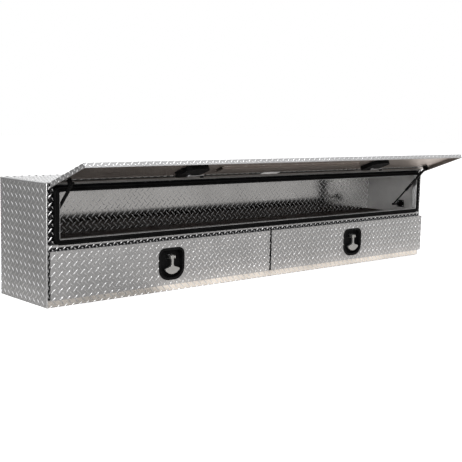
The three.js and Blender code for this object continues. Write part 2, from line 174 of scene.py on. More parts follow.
class ToolBoxStudio(bpy.types.PropertyGroup):
    azimuth: FloatProperty(name="Azimuth", description="Camera direction round the box",
                           default=math.radians(-42.376), subtype="ANGLE")
    elevation: FloatProperty(name="Elevation", description="Camera height angle",
                             default=math.radians(7.390), subtype="ANGLE")
    roll: FloatProperty(name="Roll", description="Camera tilt about its own axis",
                        default=math.radians(1.258), subtype="ANGLE")
    place: FloatVectorProperty(name="Camera Place", description="Where the camera stands",
                               default=(-2.7477, -2.9388, 0.7063), subtype="XYZ", unit="LENGTH")
    lens: FloatProperty(name="Lens", description="Focal length in millimetres", default=68.94)
    floor_size: FloatProperty(name="Floor Size", description="Side of the studio floor",
                              default=40.0, unit="LENGTH")
    floor_glow: FloatProperty(name="Floor Glow",
                              description="Light added to the floor so it stays white", default=0.35)
    ground: FloatVectorProperty(name="Ground", description="Floor as the metal mirrors it",
                                default=(0.42, 0.41, 0.40), subtype="COLOR")
    ground_left: FloatVectorProperty(name="Left Ground", description="Floor as the left end mirrors it",
                                     default=(0.25, 0.245, 0.24), subtype="COLOR")
    strip_glow: FloatProperty(name="Strip Glow",
                              description="Bright strip of floor before the sill", default=0.55)
    front_share: FloatProperty(name="Front Share", description="Part of the light that comes from the front",
                               default=0.90)
    back_share: FloatProperty(name="Back Share", description="Part of the light that comes from behind",
                              default=0.68)
    horizon_light: FloatProperty(name="Horizon Light",
                                 description="Studio brightness at eye level", default=0.35)
    sky_light: FloatProperty(name="Sky Light", description="Studio brightness overhead", default=1.5)


# name, place (m), size (m) and power (W) of each soft light panel
LIGHT_PANELS = (
    ("key_panel", (-2.0, -4.2, 4.2), (4.0, 3.0), 150),
    ("side_panel", (-4.0, -2.0, 0.8), (1.6, 1.0), 50),
    ("back_panel", (1.0, 3.0, 3.5), (4.0, 2.0), 30),
)

# half width and half height (m) of the clear ground that the lugs leave round a latch dish
DISH_HALF_HOLE = (0.062, 0.064)


# ---------------------------------------------------------------- shader groups

def new_group(name, inputs, outputs):
    group = bpy.data.node_groups.new(name, "ShaderNodeTree")
    for label, kind, default in inputs:
        socket = group.interface.new_socket(label, in_out="INPUT", socket_type=kind)
        socket.default_value = default
    for label, kind in outputs:
        group.interface.new_socket(label, in_out="OUTPUT", socket_type=kind)
    return group, group.nodes.new("NodeGroupInput"), group.nodes.new("NodeGroupOutput")


def maths(tree, operation, a, b=None):
    node = tree.nodes.new("ShaderNodeMath")
    node.operation = operation
    for slot, value in enumerate((a, b)):
        if value is None:
            continue
        if isinstance(value, (int, float)):
            node.inputs[slot].default_value = value
        else:
            tree.links.new(value, node.inputs[slot])
    return node.outputs[0]


def noise(tree, vector, scale, detail=3.0, roughness=0.55):
    node = tree.nodes.new("ShaderNodeTexNoise")
    node.inputs["Detail"].default_value = detail
    node.inputs["Roughness"].default_value = roughness
    tree.links.new(vector, node.inputs["Vector"])
    if isinstance(scale, (int, float)):
        node.inputs["Scale"].default_value = scale
    else:
        tree.links.new(scale, node.inputs["Scale"])
    return node.outputs["Fac"]


def ramp(tree, value, low, high, to_low=0.0, to_high=1.0):
    node = tree.nodes.new("ShaderNodeMapRange")
    node.inputs["From Min"].default_value = low
    node.inputs["From Max"].default_value = high
    node.inputs["To Min"].default_value = to_low
    node.inputs["To Max"].default_value = to_high
    tree.links.new(value, node.inputs["Value"])
    return node.outputs["Result"]


def rolled_grain_group():
    """Fine drawn lines along the sheet, from rolling and polishing."""
    group, source, sink = new_group(
        "Rolled Grain",
        [("Vector", "NodeSocketVector", (0, 0, 0)), ("Stretch", "NodeSocketVector", (6, 900, 900)),
         ("Depth", "NodeSocketFloat", 0.5)],
        [("Height", "NodeSocketFloat"), ("Streaks", "NodeSocketFloat")])
    scaled = group.nodes.new("ShaderNodeVectorMath")
    scaled.operation = "MULTIPLY"
    group.links.new(source.outputs["Vector"], scaled.inputs[0])
    group.links.new(source.outputs["Stretch"], scaled.inputs[1])
    lines = noise(group, scaled.outputs[0], 1.0, 2.0, 0.6)
    group.links.new(maths(group, "MULTIPLY", lines, source.outputs["Depth"]), sink.inputs["Height"])
    group.links.new(ramp(group, lines, 0.3, 0.7), sink.inputs["Streaks"])
    return group


def handling_group():
    """Patches where hands, cloths and weather have dulled the metal, and small scuffs."""
    group, source, sink = new_group(
        "Handling Marks",
        [("Vector", "NodeSocketVector", (0, 0, 0)), ("Size", "NodeSocketFloat", 6.0),
         ("Scuff Size", "NodeSocketFloat", 90.0)],
        [("Smudge", "NodeSocketFloat"), ("Scuff", "NodeSocketFloat")])
    patches = noise(group, source.outputs["Vector"], source.outputs["Size"], 4.0, 0.6)
    group.links.new(ramp(group, patches, 0.38, 0.66), sink.inputs["Smudge"])
    fine = noise(group, source.outputs["Vector"], source.outputs["Scuff Size"], 2.0, 0.7)
    group.links.new(ramp(group, fine, 0.58, 0.72), sink.inputs["Scuff"])
    return group


def pebble_group():
    """Small round grains, as on powder coat and moulded rubber."""
    group, source, sink = new_group(
        "Pebble",
        [("Vector", "NodeSocketVector", (0, 0, 0)), ("Scale", "NodeSocketFloat", 900.0)],
        [("Height", "NodeSocketFloat"), ("Tone", "NodeSocketFloat")])
    cells = group.nodes.new("ShaderNodeTexVoronoi")
    group.links.new(source.outputs["Vector"], cells.inputs["Vector"])
    group.links.new(source.outputs["Scale"], cells.inputs["Scale"])
    group.links.new(maths(group, "SUBTRACT", 1.0, cells.outputs["Distance"]), sink.inputs["Height"])
    group.links.new(ramp(group, cells.outputs["Distance"], 0.0, 0.8), sink.inputs["Tone"])
    return group


GROUPS = {}


def shared_group(name):
    makers = {"grain": rolled_grain_group, "handling": handling_group, "pebble": pebble_group}
    if name not in GROUPS:
        GROUPS[name] = makers[name]()
    return GROUPS[name]


# ---------------------------------------------------------------- materials

def start_material(name, metallic, specular=0.5):
    material = bpy.data.materials.new(name)
    material.use_nodes = True
    tree = material.node_tree
    shader = tree.nodes["Principled BSDF"]
    shader.inputs["Metallic"].default_value = metallic
    shader.inputs["Specular IOR Level"].default_value = specular
    place = tree.nodes.new("ShaderNodeTexCoord")
    return material, tree, shader, place.outputs["Object"]


def use_group(tree, name, vector, **values):
    node = tree.nodes.new("ShaderNodeGroup")
    node.node_tree = shared_group(name)
    tree.links.new(vector, node.inputs["Vector"])
    for label, value in values.items():
        node.inputs[label.replace("_", " ")].default_value = value
    return node


def mix_colour(tree, factor, first, second):
    node = tree.nodes.new("ShaderNodeMix")
    node.data_type = "RGBA"
    tree.links.new(factor, node.inputs["Factor"])
    for socket, value in ((node.inputs["A"], first), (node.inputs["B"], second)):
        if isinstance(value, bpy.types.NodeSocket):
            tree.links.new(value, socket)
        else:
            socket.default_value = (*value, 1.0)
    return node.outputs["Result"]


def bump(tree, shader, height, strength, distance):
    node = tree.nodes.new("ShaderNodeBump")
    node.inputs["Strength"].default_value = strength
    node.inputs["Distance"].default_value = distance
    tree.links.new(height, node.inputs["Height"])
    tree.links.new(node.outputs["Normal"], shader.inputs["Normal"])


def shade(colour, factor):
    return tuple(min(1.0, channel * factor) for channel in colour)


def metal(name, colour, roughness, spread, grain=(6, 900, 900), grain_depth=0.35, dull=0.82, patch=5.0,
          zones=None):
    """Bare or plated metal: drawn grain, dull patches, and scuffs that lighten it."""
    material, tree, shader, place = start_material(name, 1.0)
    marks = use_group(tree, "handling", place, Size=patch, Scuff_Size=120.0)
    lines = use_group(tree, "grain", place, Stretch=grain, Depth=1.0)
    base = zones(tree, place, colour) if zones else colour
    worn = zones(tree, place, shade(colour, dull), dull) if zones else shade(colour, dull)
    tone = mix_colour(tree, marks.outputs["Smudge"], base, worn)
    tone = mix_colour(tree, maths(tree, "MULTIPLY", marks.outputs["Scuff"], 0.2), tone, shade(colour, 1.2))
    tree.links.new(tone, shader.inputs["Base Color"])
    rough = ramp(tree, marks.outputs["Smudge"], 0.0, 1.0, roughness, roughness + spread)
    streak = maths(tree, "MULTIPLY", lines.outputs["Streaks"], spread * 0.5)
    tree.links.new(maths(tree, "ADD", rough, streak), shader.inputs["Roughness"])
    bump(tree, shader, lines.outputs["Height"], grain_depth, 0.00004)
    return material


def frame_zones(tree, place, colour, dull=1.0):
    """Front frame with painted light: painted shade on the uprights and head, plain rails, a band of painted
    shade behind and just above the drawers, and a painted warm reflection on the sill.
    """
    colours = bpy.context.scene.tool_box_colours
    drawer_low, drawer_high = straight_box("left_drawer_front")
    parts = tree.nodes.new("ShaderNodeSeparateXYZ")
    tree.links.new(place, parts.inputs["Vector"])
    z = parts.outputs["Z"]
    rail_top = straight_box("door_seal")[0].z
    # painted shade: everything above the rail, the uprights and the head, is darkened to the near-black shade
    # tone
    upright = ramp(tree, z, rail_top - 2 * MM, rail_top + 4 * MM)
    # painted shade: a band behind the drawers and up to just above their tops stands for the shadow in the
    # gap there
    joint = maths(tree, "MULTIPLY", ramp(tree, z, drawer_low.z, drawer_low.z + 2 * MM),
                  ramp(tree, z, drawer_high.z + 13 * MM, drawer_high.z + 10 * MM))
    # painted reflection: the strip below the drawers gets the warm, bright colour of the sunlit ground that
    # the bend mirrors
    sill = ramp(tree, z, drawer_low.z, drawer_low.z - 2 * MM)
    dark = shade(tuple(colours.painted_shade), dull)
    tone = mix_colour(tree, maths(tree, "MAXIMUM", upright, joint), colour, dark)
    return mix_colour(tree, sill, tone, shade(tuple(colours.sill), dull))


def coated(name, colour, roughness, pebble_scale, pebble_depth, specular=0.5):
    """Black powder coat, paint or rubber with a fine pebbled skin and worn, dusty patches."""
    material, tree, shader, place = start_material(name, 0.0, specular)
    marks = use_group(tree, "handling", place, Size=14.0, Scuff_Size=160.0)
    skin = use_group(tree, "pebble", place, Scale=pebble_scale)
    tone = mix_colour(tree, marks.outputs["Smudge"], colour, shade(colour, 1.8))
    tone = mix_colour(tree, maths(tree, "MULTIPLY", marks.outputs["Scuff"], 0.3), tone, shade(colour, 5.0))
    tree.links.new(tone, shader.inputs["Base Color"])
    rough = ramp(tree, marks.outputs["Smudge"], 0.0, 1.0, roughness, roughness + 0.15)
    tree.links.new(rough, shader.inputs["Roughness"])
    bump(tree, shader, skin.outputs["Height"], pebble_depth, 0.0001)
    return material


MATERIALS = {}


def finish_of(name):
    """The material of that finish, made the first time it is asked for."""
    colours = bpy.context.scene.tool_box_colours
    along_height = (900, 900, 6)
    makers = {
        "plate": lambda: metal("Tread Plate", tuple(colours.plate), 0.26, 0.12),
        # real wear and painted highlight: the lugs' lighter colour stands in for part of their highlights
        "lug": lambda: metal("Worn Lug and Painted Highlight", tuple(colours.lug), 0.24, 0.10, grain_depth=0.2),
        "lining": lambda: metal("Smooth Lining", tuple(colours.lining),
                               0.08, 0.04, patch=3.0, grain_depth=0.1),
        # painted light: a lighter copy of the lining for the lit inner face of the end panels
        "lit_end_lining": lambda: metal("Lit End Lining", tuple(colours.lit_end_lining),
                               0.50, 0.08, patch=3.0, grain_depth=0.1),
        "shaded": lambda: coated("Shaded Sheet", tuple(colours.shaded), 0.55, 900.0, 0.05, 0.06),
        # painted reflection: darker, brown copy of the lining for the door's inner face and its stiffener
        "underside": lambda: metal("Door Inside", tuple(colours.underside),
                               0.34, 0.10, patch=3.0, grain_depth=0.15),
        # the front frame carries the painted shade and the painted sill reflection set out in frame_zones
        "frame": lambda: metal("Front Frame with Painted Light", tuple(colours.plate), 0.18, 0.08, zones=frame_zones),
        # painted shade: the drawers' outer side flanges take the near-black shade colour, for the shadow in
        # the gap beside each drawer
        "shaded_flange": lambda: metal("Shaded Flange", tuple(colours.painted_shade), 0.22, 0.10),
        # painted shade: mill steel darkened for the hinge and hem in the door's shade
        "hinge": lambda: metal("Shaded Mill Steel", tuple(colours.hinge), 0.26, 0.10, patch=8.0),
        "handle": lambda: metal("Satin Stainless", tuple(colours.handle),
                               0.32, 0.10, grain=along_height, dull=0.9),
        "zinc": lambda: metal("Zinc Plate", tuple(colours.zinc), 0.28, 0.14, dull=0.75, patch=30.0),
        "black": lambda: coated("Black Powder Coat", tuple(colours.black), 0.45, 1400.0, 0.5, 0.07),
        "gloss_black": lambda: coated("Strut Black", tuple(colours.black), 0.25, 2500.0, 0.08, 0.10),
        "pale": lambda: coated("Blank Plate", (0.60, 0.60, 0.60), 0.5, 1800.0, 0.05, 0.4),
        "rubber": lambda: coated("Seal Rubber", tuple(colours.rubber), 0.38, 1800.0, 0.25, 0.03),
    }
    if name not in MATERIALS:
        MATERIALS[name] = makers[name]()
    return MATERIALS[name]


# ---------------------------------------------------------------- mesh helpers

def add_object(name, mesh, body, stands_for=()):
    piece = bpy.data.objects.new(name, mesh)
    bpy.context.scene.collection.objects.link(piece)
    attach(piece, body)
    if stands_for:
        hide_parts(*stands_for)
    return piece


def smooth(mesh, angle=math.radians(35)):
    for face in mesh.polygons:
        face.use_smooth = True
    mesh.set_sharp_from_angle(angle=angle)


def keep_flats(mesh):
    """The same mesh, shaded so that its wide faces stay flat and only the rounded edges turn."""
    holder = bpy.data.objects.new("flat_holder", mesh)
    bpy.context.scene.collection.objects.link(holder)
    modifier = holder.modifiers.new("weighted", "WEIGHTED_NORMAL")
    modifier.weight = 100
    modifier.keep_sharp = True
    graph = bpy.context.evaluated_depsgraph_get()
    result = bpy.data.meshes.new_from_object(holder.evaluated_get(graph))
    bpy.data.objects.remove(holder)
    result.name = mesh.name
    return result


def merged_copy(node):
    """A working copy of a node's mesh with shared corners and whole flat faces."""
    work = bmesh.new()
    work.from_mesh(NODES[node].data)
    bmesh.ops.remove_doubles(work, verts=work.verts, dist=2e-6)
    bmesh.ops.dissolve_limit(work, angle_limit=math.radians(0.8), verts=work.verts, edges=work.edges)
    return work


def round_edges(work, width, segments=2, min_angle=math.radians(30)):
    sharp = [e for e in work.edges if e.is_manifold and e.calc_face_angle(0.0) > min_angle]
    if width > 0 and sharp:
        bmesh.ops.bevel(work, geom=sharp, offset=width, offset_type="OFFSET", segments=segments,
                        profile=0.5, affect="EDGES", clamp_overlap=True)


def soften(node, name, body, finishes, width, segments=2, choose=None, to_straight=STRAIGHT):
    """A node's shape again with rounded edges. choose(centre, normal) gives the number of a face's finish."""
    work = merged_copy(node)
    round_edges(work, width, segments)
    if choose:
        turn = to_straight.to_3x3()
        for face in work.faces:
            face.material_index = choose(to_straight @ face.calc_center_median(), turn @ face.normal)
    mesh = bpy.data.meshes.new(name)
    work.to_mesh(mesh)
    work.free()
    for finish in finishes:
        mesh.materials.append(finish_of(finish))
    smooth(mesh)
    return add_object(name, keep_flats(mesh), body, [node])


def repaint(node, finish):
    mesh = NODES[node].data
    mesh.materials.clear()
    mesh.materials.append(finish_of(finish))


# ---------------------------------------------------------------- geometry node trees

class NodeTree:
    """A geometry node tree under construction, with short calls for its nodes."""

    def __init__(self, name, inputs):
        self.tree = bpy.data.node_groups.new(name, "GeometryNodeTree")
        self.sockets = {}
        for label, kind, default in inputs:
            socket = self.tree.interface.new_socket(label, in_out="INPUT", socket_type=kind)
            if default is not None:
                socket.default_value = default
            self.sockets[label] = socket.identifier
        self.tree.interface.new_socket("Geometry", in_out="OUTPUT", socket_type="NodeSocketGeometry")
        self.source = self.tree.nodes.new("NodeGroupInput")
        self.sink = self.tree.nodes.new("NodeGroupOutput")

    def given(self, label):
        return self.source.outputs[label]

    def join(self, value, socket):
        if isinstance(value, bpy.types.NodeSocket):
            self.tree.links.new(value, socket)
        elif value is not None:
            socket.default_value = value

    def add(self, kind, settings=None, **inputs):
        node = self.tree.nodes.new(kind)
        for key, value in (settings or {}).items():
            setattr(node, key, value)
        for label, value in inputs.items():
            self.join(value, node.inputs[label.replace("_", " ")])
        return node

    def maths(self, operation, a, b=0.0):
        node = self.add("ShaderNodeMath", {"operation": operation})
        self.join(a, node.inputs[0])
        self.join(b, node.inputs[1])
        return node.outputs[0]

    def vector(self, x=0.0, y=0.0, z=0.0):
        return self.add("ShaderNodeCombineXYZ", X=x, Y=y, Z=z).outputs[0]

    def vector_maths(self, operation, a, b):
        node = self.add("ShaderNodeVectorMath", {"operation": operation})
        self.join(a, node.inputs[0])
        self.join(b, node.inputs[1])
        return node.outputs[0]

    def both(self, a, b, operation="AND"):
        node = self.add("FunctionNodeBooleanMath", {"operation": operation})
        self.join(a, node.inputs[0])
        self.join(b, node.inputs[1])
        return node.outputs[0]

    def end(self, geometry, material):
        whole = self.add("GeometryNodeRealizeInstances", Geometry=geometry).outputs["Geometry"]
        return self.paint(whole, material)

    def paint(self, geometry, material):
        painted = self.add("GeometryNodeSetMaterial", Geometry=geometry, Material=material)
        self.tree.links.new(painted.outputs["Geometry"], self.sink.inputs["Geometry"])


def run_tree(built, values):
    """Runs a tree on an empty mesh with the named values and returns the plain mesh that it makes."""
    holder = bpy.data.objects.new("tree_holder", bpy.data.meshes.new("tree_holder"))
    bpy.context.scene.collection.objects.link(holder)
    modifier = holder.modifiers.new("tree", "NODES")
    modifier.node_group = built.tree
    for label, value in values.items():
        modifier[built.sockets[label]] = value
    holder.data.update()
    graph = bpy.context.evaluated_depsgraph_get()
    result = bpy.data.meshes.new_from_object(holder.evaluated_get(graph))
    holder.modifiers.remove(modifier)
    bpy.data.objects.remove(holder)
    return result


def lug_tree():
    """Raised lugs of tread plate on a flat panel: two square lattices that lean opposite ways."""
    zero = (0.0, 0.0, 0.0)
    built = NodeTree("Tread Lugs", [
        ("Width", "NodeSocketFloat", 1.0), ("Height", "NodeSocketFloat", 0.3),
        ("Pitch", "NodeSocketFloat", 0.03), ("Lug Length", "NodeSocketFloat", 0.025),
        ("Lug Width", "NodeSocketFloat", 0.005), ("Lug Height", "NodeSocketFloat", 0.001),
        ("Phase", "NodeSocketVector", zero), ("Hole Centre", "NodeSocketVector", zero),
        ("Hole Half Size", "NodeSocketVector", zero), ("Material", "NodeSocketMaterial", None)])
    pitch = built.given("Pitch")
    columns = built.maths("ADD", built.maths("CEIL", built.maths("DIVIDE", built.given("Width"), pitch)), 3.0)
    rows = built.maths("ADD", built.maths("CEIL", built.maths("DIVIDE", built.given("Height"), pitch)), 3.0)
    span_x = built.maths("MULTIPLY", built.maths("SUBTRACT", columns, 1.0), pitch)
    span_y = built.maths("MULTIPLY", built.maths("SUBTRACT", rows, 1.0), pitch)
    grid = built.add("GeometryNodeMeshGrid", Size_X=span_x, Size_Y=span_y,
                     Vertices_X=columns, Vertices_Y=rows)
    points = built.add("GeometryNodeMeshToPoints", Mesh=grid.outputs["Mesh"]).outputs["Points"]
    half_span = built.vector(built.maths("MULTIPLY", span_x, 0.5), built.maths("MULTIPLY", span_y, 0.5))
    corner = built.vector_maths("SUBTRACT", half_span, built.vector(pitch, pitch))
    corner = built.vector_maths("ADD", corner, built.given("Phase"))

    lug = built.add("GeometryNodeMeshCone", {"fill_type": "NGON"}, Vertices=10, Side_Segments=1,
                    Radius_Top=0.66, Radius_Bottom=1.0, Depth=1.0).outputs["Mesh"]
    size = built.vector(built.maths("MULTIPLY", built.given("Lug Length"), 0.5),
                        built.maths("MULTIPLY", built.given("Lug Width"), 0.5), built.given("Lug Height"))
    lug = built.add("GeometryNodeTransform", Geometry=lug, Scale=size).outputs["Geometry"]

    leaning = built.add("GeometryNodeJoinGeometry")
    for shift, angle in ((0.0, 45.0), (0.5, -45.0)):
        offset = built.vector(built.maths("MULTIPLY", pitch, shift), built.maths("MULTIPLY", pitch, shift))
        offset = built.vector_maths("ADD", corner, offset)
        moved = built.add("GeometryNodeSetPosition", Geometry=points, Offset=offset).outputs["Geometry"]
        place = built.add("GeometryNodeInputPosition").outputs[0]
        parts = built.add("ShaderNodeSeparateXYZ", Vector=place)
        margin = built.maths("MULTIPLY", built.given("Lug Length"), 0.3)
        outside = None
        for axis, limit in (("X", built.given("Width")), ("Y", built.given("Height"))):
            low = built.add("FunctionNodeCompare", {"operation": "LESS_THAN"},
                            A=parts.outputs[axis], B=built.maths("MULTIPLY", margin, -1.0)).outputs[0]
            high = built.add("FunctionNodeCompare", {"operation": "GREATER_THAN"},
                             A=parts.outputs[axis], B=built.maths("ADD", limit, margin)).outputs[0]
            either = built.both(low, high, "OR")
            outside = either if outside is None else built.both(outside, either, "OR")
        from_hole = built.vector_maths("SUBTRACT", place, built.given("Hole Centre"))
        away = built.add("ShaderNodeVectorMath", {"operation": "ABSOLUTE"})
        built.join(from_hole, away.inputs[0])
        near = built.add("ShaderNodeSeparateXYZ", Vector=away.outputs[0])
        half = built.add("ShaderNodeSeparateXYZ", Vector=built.given("Hole Half Size"))
        in_x = built.add("FunctionNodeCompare", {"operation": "LESS_THAN"},
                         A=near.outputs["X"], B=half.outputs["X"]).outputs[0]
        in_y = built.add("FunctionNodeCompare", {"operation": "LESS_THAN"},
                         A=near.outputs["Y"], B=half.outputs["Y"]).outputs[0]
        gone = built.both(outside, built.both(in_x, in_y), "OR")
        kept = built.add("GeometryNodeDeleteGeometry", {"domain": "POINT"},
                         Geometry=moved, Selection=gone).outputs["Geometry"]
        spread = built.add("GeometryNodeInstanceOnPoints", Points=kept, Instance=lug,
                           Rotation=(0.0, 0.0, math.radians(angle))).outputs["Instances"]
        built.tree.links.new(spread, leaning.inputs["Geometry"])
    whole = built.add("GeometryNodeRealizeInstances",
                      Geometry=leaning.outputs["Geometry"]).outputs["Geometry"]
    place = built.add("GeometryNodeInputPosition").outputs[0]
    far = built.vector(built.given("Width"), built.given("Height"), 1.0)
    held = built.vector_maths("MINIMUM", built.vector_maths("MAXIMUM", place, (0.0, 0.0, -1.0)), far)
    whole = built.add("GeometryNodeSetPosition", Geometry=whole, Position=held).outputs["Geometry"]
    whole = built.add("GeometryNodeMergeByDistance", Geometry=whole, Distance=2e-5).outputs["Geometry"]
    built.paint(whole, built.given("Material"))
    return built


def rivet_tree():
    """Dome-headed rivets in a row along X."""
    built = NodeTree("Rivet Row", [
        ("Length", "NodeSocketFloat", 1.0), ("Count", "NodeSocketInt", 10),
        ("Radius", "NodeSocketFloat", 0.003),
        ("Head Height", "NodeSocketFloat", 0.001), ("Material", "NodeSocketMaterial", None)])
    end = built.vector(built.given("Length"))
    line = built.add("GeometryNodeMeshLine", {"mode": "END_POINTS"}, Count=built.given("Count"),
                     Offset=end).outputs["Mesh"]
    points = built.add("GeometryNodeMeshToPoints", Mesh=line).outputs["Points"]
    head = built.add("GeometryNodeMeshUVSphere", Segments=14, Rings=8, Radius=1.0).outputs["Mesh"]
    size = built.vector(built.given("Radius"), built.given("Radius"), built.given("Head Height"))
    head = built.add("GeometryNodeTransform", Geometry=head, Scale=size).outputs["Geometry"]
    spread = built.add("GeometryNodeInstanceOnPoints", Points=points, Instance=head).outputs["Instances"]
    built.end(spread, built.given("Material"))
    return built


def knuckle_tree():
    """One side of a piano hinge about an axis on X: a flat leaf and every other knuckle. A tab is built for
    each knuckle but is not joined in, so no tabs show.
    """
    zero = (0.0, 0.0, 0.0)
    built = NodeTree("Hinge Knuckles", [
        ("Length", "NodeSocketFloat", 1.0), ("Knuckle", "NodeSocketFloat", 0.025),
        ("Radius", "NodeSocketFloat", 0.004), ("First", "NodeSocketInt", 0),
        ("Leaf Size", "NodeSocketVector", zero), ("Leaf Centre", "NodeSocketVector", zero),
        ("Material", "NodeSocketMaterial", None)])
    knuckle = built.given("Knuckle")
    two_knuckles = built.maths("MULTIPLY", knuckle, 2.0)
    pairs = built.maths("FLOOR", built.maths("DIVIDE", built.given("Length"), two_knuckles))
    start_x = built.maths("ADD", built.maths("MULTIPLY", built.given("Length"), -0.5),
                          built.maths("MULTIPLY", knuckle, built.maths("ADD", built.given("First"), 0.5)))
    step = built.vector(two_knuckles)
    line = built.add("GeometryNodeMeshLine", {"mode": "OFFSET"}, Count=pairs,
                     Start_Location=built.vector(start_x), Offset=step).outputs["Mesh"]
    points = built.add("GeometryNodeMeshToPoints", Mesh=line).outputs["Points"]
    barrel = built.add("GeometryNodeMeshCylinder", Vertices=14, Radius=built.given("Radius"),
                       Depth=built.maths("MULTIPLY", knuckle, 0.985)).outputs["Mesh"]
    barrel = built.add("GeometryNodeTransform", Geometry=barrel,
                       Rotation=(0.0, math.radians(90.0), 0.0)).outputs["Geometry"]
    middle = built.vector_maths("MULTIPLY", built.given("Leaf Centre"), (0.5, 0.5, 0.5))
    reach = built.add("ShaderNodeVectorMath", {"operation": "ABSOLUTE"})
    built.join(built.given("Leaf Centre"), reach.inputs[0])
    tab_size = built.vector_maths("ADD", built.vector_maths("MULTIPLY", reach.outputs[0], (0.0, 0.92, 0.92)),
                                  built.vector(built.maths("MULTIPLY", knuckle, 0.97), 1.0 * MM, 1.0 * MM))
    tab = built.add("GeometryNodeMeshCube", Size=tab_size).outputs["Mesh"]
    tab = built.add("GeometryNodeTransform", Geometry=tab, Translation=middle).outputs["Geometry"]
    one = built.add("GeometryNodeJoinGeometry")
    built.tree.links.new(barrel, one.inputs["Geometry"])
    spread = built.add("GeometryNodeInstanceOnPoints", Points=points,
                       Instance=one.outputs["Geometry"]).outputs["Instances"]
    leaf = built.add("GeometryNodeMeshCube", Size=built.given("Leaf Size")).outputs["Mesh"]
    leaf = built.add("GeometryNodeTransform", Geometry=leaf,
                     Translation=built.given("Leaf Centre")).outputs["Geometry"]
    whole = built.add("GeometryNodeJoinGeometry")
    built.tree.links.new(spread, whole.inputs["Geometry"])
    built.tree.links.new(leaf, whole.inputs["Geometry"])
    built.end(whole.outputs["Geometry"], built.given("Material"))
    return built


TREES = {}


def shared_tree(name):
    makers = {"lugs": lug_tree, "rivets": rivet_tree, "knuckles": knuckle_tree}
    if name not in TREES:
        TREES[name] = makers[name]()
    return TREES[name]


def placed(mesh, corner, across, up, to_rest=STRAIGHT):
    """Moves a mesh made in a flat panel's own X and Y to the panel's corner and directions."""
    across = Vector(across).normalized()
    up = Vector(up).normalized()
    out = across.cross(up)
    turn = Matrix((across, up, out)).transposed().to_4x4()
    mesh.transform(to_rest @ Matrix.Translation(Vector(corner)) @ turn)
    return mesh


def joined(meshes, name):
    work = bmesh.new()
    for mesh in meshes:
        work.from_mesh(mesh)
    whole = bpy.data.meshes.new(name)
    work.to_mesh(whole)
    work.free()
    for material in meshes[0].materials:
        whole.materials.append(material)
    return whole


def lugs_on(corner, across, up, width, height, to_rest=STRAIGHT, hole=None, relief=None, finish="lug"):
    tread = bpy.context.scene.tool_box_tread
    pitch = tread.pitch
    start = Vector(corner)
    along = start.dot(Vector(across).normalized())
    rise = start.dot(Vector(up).normalized())
    values = {
        "Width": width, "Height": height, "Pitch": pitch, "Lug Length": tread.lug_length,
        "Lug Width": tread.lug_width, "Lug Height": relief or tread.lug_height,
        "Phase": (-along % pitch, -rise % pitch, 0.0), "Material": finish_of(finish),
    }
    if hole:
        values["Hole Centre"] = (hole[0], hole[1], 0.0)
        values["Hole Half Size"] = (hole[2], hole[3], 0.0)
    mesh = run_tree(shared_tree("lugs"), values)
    return placed(mesh, corner, across, up, to_rest)


# ---------------------------------------------------------------- pieces

def lined(low, high, open_sides, side_finish=0, skin=1.2 * MM):
    """Chooses finish 1 inside the sheet's skin, and side_finish on its outer left and right faces."""
    def choose(point, normal):
        for axis in range(3):
            for sign, edge in ((-1, low[axis]), (1, high[axis])):
                if (axis, sign) not in open_sides and sign * (edge - point[axis]) < skin:
                    return side_finish if axis == 0 and abs(normal.x) > 0.9 else 0
        return 1
    return choose


def behind(axis, sign, edge, skin=0.4 * MM):
    """Chooses finish 1 for faces at the far side of a flat sheet."""
    return lambda point, normal: 1 if sign * (point[axis] - edge) > -skin else 0


